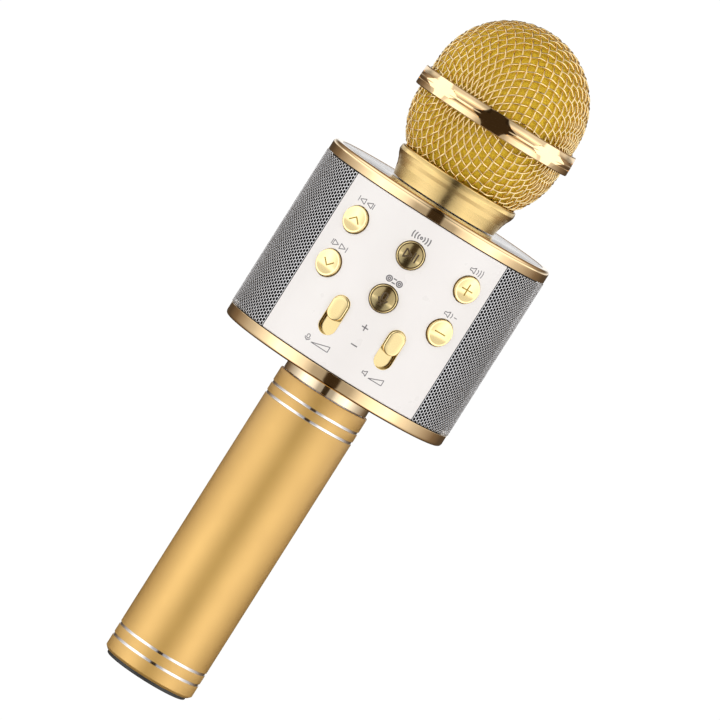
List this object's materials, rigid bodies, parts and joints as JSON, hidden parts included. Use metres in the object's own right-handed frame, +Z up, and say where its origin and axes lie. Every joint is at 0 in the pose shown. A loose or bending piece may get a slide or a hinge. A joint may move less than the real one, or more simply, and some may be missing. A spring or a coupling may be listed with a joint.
{
  "type": "karaoke microphone",
  "caption": "Hand-held karaoke microphone: woven ball head, round body with push buttons, sliders and side speakers, turned metal handle.",
  "frame": {"origin": "centre of the end cap's flat bottom face, where the microphone stands", "axes": "+Z up the handle to the ball head, -Y out of the front control panel, +X to the right of the panel"},
  "size_m": [0.084, 0.0856, 0.2512],
  "materials": {
    "ball_mesh": "gold plated woven wire, glossy",
    "liner_foam": "mustard cloth over soft foam, matt",
    "polished_gold": "mirror polished pale gold",
    "collar_gold": "satin yellow gold",
    "button_gold": "bright gold plating on plastic",
    "neck_gold": "polished rose gold",
    "handle_gold": "satin champagne gold",
    "panel_white": "smooth warm white, low gloss",
    "cover_plate": "bright silver plate",
    "speaker_mesh": "fine silver grey mesh",
    "black_plastic": "fine textured black",
    "core_plastic": "plain dark grey moulding",
    "plain_steel": "plain nickel plated steel",
    "contact_brass": "plain brass",
    "black_rubber": "matt black",
    "board_green": "green solder mask",
    "cell_wrap": "blue shrink sleeve",
    "light_lens": "clear frosted lens"
  },
  "bodies": {
    "body": {"audio_jack": "black_plastic", "bottom_cover": "panel_white", "bottom_rim": "polished_gold", "capsule_cradle": "black_rubber", "card_slot": "plain_steel", "charge_light": "light_lens", "charge_socket": "plain_steel", "contact_plate": "contact_brass", "core_frame": "core_plastic", "down_key_switch": "black_plastic", "front_panel": "panel_white", "head_collar": "collar_gold", "key_board": "board_green", "left_cradle_screw": "plain_steel", "left_slide_pot": "plain_steel", "left_slider_track": "polished_gold", "left_speaker_basket": "plain_steel", "left_speaker_grille": "speaker_mesh", "left_speaker_magnet": "black_plastic", "main_board": "board_green", "mic_capsule": "plain_steel", "mic_key_switch": "black_plastic", "minus_key_switch": "black_plastic", "neck_ring": "neck_gold", "neck_stub": "plain_steel", "play_key_switch": "black_plastic", "plus_key_switch": "black_plastic", "power_switch_body": "plain_steel", "rear_board": "board_green", "rear_panel": "panel_white", "right_cradle_screw": "plain_steel", "right_slide_pot": "plain_steel", "right_slider_track": "polished_gold", "right_speaker_basket": "plain_steel", "right_speaker_grille": "speaker_mesh", "right_speaker_magnet": "black_plastic", "top_cover": "cover_plate", "top_rim": "polished_gold", "up_key_switch": "black_plastic"},
    "up_button": {"up_button": "button_gold"},
    "play_button": {"play_button": "button_gold"},
    "plus_button": {"plus_button": "button_gold"},
    "down_button": {"down_button": "button_gold"},
    "mic_button": {"mic_button": "button_gold"},
    "minus_button": {"minus_button": "button_gold"},
    "left_slider": {"left_slider_knob": "button_gold"},
    "right_slider": {"right_slider_knob": "button_gold"},
    "power_switch": {"power_switch_knob": "black_plastic"},
    "left_cone": {"left_speaker_cone": "black_rubber"},
    "right_cone": {"right_speaker_cone": "black_rubber"},
    "liner": {"foam_liner": "liner_foam"},
    "ball": {"grille_upper": "ball_mesh", "grille_lower": "ball_mesh", "grille_ring": "polished_gold", "grille_thread_ring": "ball_mesh"},
    "cell": {"battery": "cell_wrap"},
    "handle": {"handle_tube": "handle_gold", "end_cap": "black_plastic", "battery_sleeve": "core_plastic", "battery_spring": "plain_steel"}
  },
  "joints": [
    {"name": "up_press", "type": "slide", "parent": "body", "child": "up_button", "axis": [0.5071, 0.8619, 0], "range_m": [0, 0.0008], "stiffness_N_per_m": 1000, "springref_m": -0.0004},
    {"name": "play_press", "type": "slide", "parent": "body", "child": "play_button", "axis": [0, 1, 0], "range_m": [0, 0.0008], "stiffness_N_per_m": 1000, "springref_m": -0.0004},
    {"name": "plus_press", "type": "slide", "parent": "body", "child": "plus_button", "axis": [-0.5071, 0.8619, 0], "range_m": [0, 0.0008], "stiffness_N_per_m": 1000, "springref_m": -0.0004},
    {"name": "down_press", "type": "slide", "parent": "body", "child": "down_button", "axis": [0.5071, 0.8619, 0], "range_m": [0, 0.0008], "stiffness_N_per_m": 1000, "springref_m": -0.0004},
    {"name": "mic_press", "type": "slide", "parent": "body", "child": "mic_button", "axis": [0, 1, 0], "range_m": [0, 0.0008], "stiffness_N_per_m": 1000, "springref_m": -0.0004},
    {"name": "minus_press", "type": "slide", "parent": "body", "child": "minus_button", "axis": [-0.5071, 0.8619, 0], "range_m": [0, 0.0008], "stiffness_N_per_m": 1000, "springref_m": -0.0004},
    {"name": "left_slide", "type": "slide", "parent": "body", "child": "left_slider", "axis": [0, 0, -1], "range_m": [0, 0.005]},
    {"name": "right_slide", "type": "slide", "parent": "body", "child": "right_slider", "axis": [0, 0, -1], "range_m": [0, 0.005]},
    {"name": "power_slide", "type": "slide", "parent": "body", "child": "power_switch", "axis": [0, 0, 1], "range_m": [0, 0.0034]},
    {"name": "left_cone_travel", "type": "slide", "parent": "body", "child": "left_cone", "axis": [-1, 0, 0], "range_m": [-0.0004, 0.0004], "stiffness_N_per_m": 1500},
    {"name": "right_cone_travel", "type": "slide", "parent": "body", "child": "right_cone", "axis": [1, 0, 0], "range_m": [-0.0004, 0.0004], "stiffness_N_per_m": 1500},
    {"name": "ball_lift", "type": "slide", "parent": "body", "child": "liner", "axis": [0, 0, 1], "range_m": [0, 0.0045]},
    {"name": "ball_unscrew", "type": "hinge", "parent": "liner", "child": "ball", "pos_m": [0, 0, 0.187], "axis": [0, 0, 1], "range_deg": [0, 1080]},
    {"name": "handle_drop", "type": "slide", "parent": "body", "child": "cell", "axis": [0, 0, -1], "range_m": [0, 0.006]},
    {"name": "handle_unscrew", "type": "hinge", "parent": "cell", "child": "handle", "pos_m": [0, 0, 0.1], "axis": [0, 0, -1], "range_deg": [0, 1440]}
  ],
  "couplings": [
    {"joint": "ball_unscrew", "follows": "ball_lift", "rad_per_m": 4188.8},
    {"joint": "handle_unscrew", "follows": "handle_drop", "rad_per_m": 4188.8}
  ]
}
